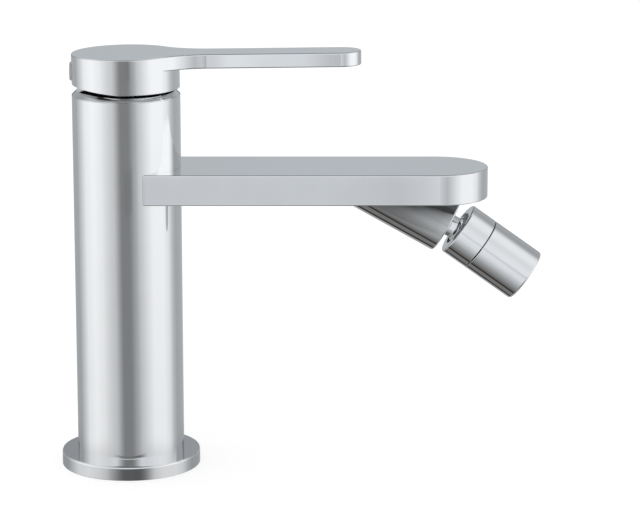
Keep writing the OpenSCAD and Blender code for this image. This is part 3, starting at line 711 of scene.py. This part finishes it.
# %% Nodes that weave a screen
SCREEN = {"Radius": 8.3 * MM, "Pitch": 0.75 * MM, "Wire": 0.11 * MM, "Lift": 0.115 * MM, "Rim": 0.5 * MM}
SCREEN_WIRES = 21
SCREEN_STEPS = 48
SCREEN_AT = 12.75 * MM

weave = bpy.data.node_groups.new("woven_screen", "GeometryNodeTree")
weave.interface.new_socket("Geometry", in_out="OUTPUT", socket_type="NodeSocketGeometry")
inputs = {"Wires": weave.interface.new_socket("Wires", in_out="INPUT", socket_type="NodeSocketInt")}
for name in SCREEN:
    inputs[name] = weave.interface.new_socket(name, in_out="INPUT", socket_type="NodeSocketFloat")
given = Wire(weave, weave.nodes.new("NodeGroupInput").outputs["Wires"])
radius, pitch, wire, lift, rim = (given.output(name) for name in SCREEN)


def vector(x, y, z):
    """Three numbers as one place or distance."""
    return Wire.node(weave, "ShaderNodeCombineXYZ", sockets={0: x, 1: y, 2: z})


def place_parts():
    """Where a point lies, along X and along Y."""
    place = Wire.node(weave, "GeometryNodeInputPosition")
    parts = Wire.node(weave, "ShaderNodeSeparateXYZ", sockets={0: place})
    return parts.output("X"), parts.output("Y")


def cosine(angle):
    """A wave, from an angle in radians."""
    return Wire.node(weave, "ShaderNodeMath", {"operation": "COSINE"}, {0: angle})


print("sizes that the weave takes:", ", ".join(inputs))

# %% One set of wires
def wires(side):
    """Wires along Y at equal distances, which go over on one side of the sheet first."""
    first = (given - 1.0) * pitch * -0.5
    line = {"Count": given, "Start Location": vector(first, 0.0, 0.0), "Offset": vector(pitch, 0.0, 0.0)}
    starts = Wire.node(weave, "GeometryNodeMeshLine", {}, line)
    ends = {"Start": (0, -1, 0), "End": (0, 1, 0)}
    straight = Wire.node(weave, "GeometryNodeCurvePrimitiveLine", {}, ends)
    steps = {"Curve": straight, "Count": SCREEN_STEPS}
    straight = Wire.node(weave, "GeometryNodeResampleCurve", {}, steps)
    x = place_parts()[0]
    chord = (radius * radius - x * x) ** 0.5
    copies = {"Points": starts, "Instance": straight, "Scale": vector(1.0, chord, 1.0)}
    laid = Wire.node(weave, "GeometryNodeInstanceOnPoints", {}, copies)
    laid = Wire.node(weave, "GeometryNodeRealizeInstances", {}, {"Geometry": laid})
    x, y = place_parts()
    height = cosine(x / pitch * math.pi) * cosine(y / pitch * math.pi) * lift * side
    bent = {"Geometry": laid, "Offset": vector(0.0, 0.0, height)}
    return Wire.node(weave, "GeometryNodeSetPosition", {}, bent)


def drawn(curve, profile):
    """A solid with a profile along a curve."""
    sockets = {"Curve": curve, "Profile Curve": profile, "Fill Caps": True}
    return Wire.node(weave, "GeometryNodeCurveToMesh", {}, sockets)


# %% Both sets, the rim, and the turn into the aerator's axes
WIRE_SIDES, RIM_STEPS = 8, 96
# The rim's width and height, as shares of its size
RIM_WIDTH, RIM_HEIGHT = 1.8, 0.9


def circle(steps, size):
    """A round curve."""
    sockets = {"Resolution": steps, "Radius": size}
    return Wire.node(weave, "GeometryNodeCurvePrimitiveCircle", {}, sockets)


round_wire = circle(WIRE_SIDES, wire)
warp = drawn(wires(1.0), round_wire)
crossing = {"Geometry": drawn(wires(-1.0), round_wire), "Rotation": (0, 0, math.pi / 2)}
weft = Wire.node(weave, "GeometryNodeTransform", {}, crossing)
rim_line = circle(RIM_STEPS, radius)
rim_size = {"Width": rim * RIM_WIDTH, "Height": rim * RIM_HEIGHT}
section = Wire.node(weave, "GeometryNodeCurvePrimitiveQuadrilateral", {}, rim_size)
pressed_rim = drawn(rim_line, section)
joined = weave.nodes.new("GeometryNodeJoinGeometry")
for shape in (pressed_rim, weft, warp):
    weave.links.new(shape.socket, joined.inputs["Geometry"])
axis = (math.sin(AERATOR_TURN[1]), 0.0, math.cos(AERATOR_TURN[1]))
screen_place = tuple(start + SCREEN_AT * step for start, step in zip(BALL_PLACE, axis))
turned = Wire.node(
    weave, "GeometryNodeTransform", {},
    {"Geometry": Wire(weave, joined.outputs[0]), "Translation": screen_place, "Rotation": AERATOR_TURN},
)
whole = Wire.node(weave, "GeometryNodeRealizeInstances", {}, {"Geometry": turned})
steel = material_for("steel", "aerator_screen")
finished = Wire.node(weave, "GeometryNodeSetMaterial", {}, {"Geometry": whole, "Material": steel})
weave.links.new(finished.socket, weave.nodes.new("NodeGroupOutput").inputs[0])
print("nodes that weave the screen:", len(weave.nodes))

# %% Weave it and put it in place of the plate
screen = new_piece("woven_screen", [], [])
loom = screen.modifiers.new("weave", "NODES")
loom.node_group = weave
loom[inputs["Wires"].identifier] = SCREEN_WIRES
for name, value in SCREEN.items():
    loom[inputs[name].identifier] = value
depsgraph = bpy.context.evaluated_depsgraph_get()
woven = bpy.data.meshes.new_from_object(screen.evaluated_get(depsgraph), depsgraph=depsgraph)
screen.modifiers.remove(loom)
screen.data = woven
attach(screen, "aerator")
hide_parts("aerator_screen")
print("screen:", len(woven.polygons), "faces from", 2 * SCREEN_WIRES, "wires")

# %% [markdown]
# ## Size
# Both boxes, the CAD model's and the finished model's, are measured and printed. The finished model
# has to fill the same box as the CAD model.

# %% Measure both boxes
boxes = {"cad": cad_box, "visual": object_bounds()}
boxes = {name: [list(corner) for corner in box] for name, box in boxes.items()}
print("box before and after:", boxes)
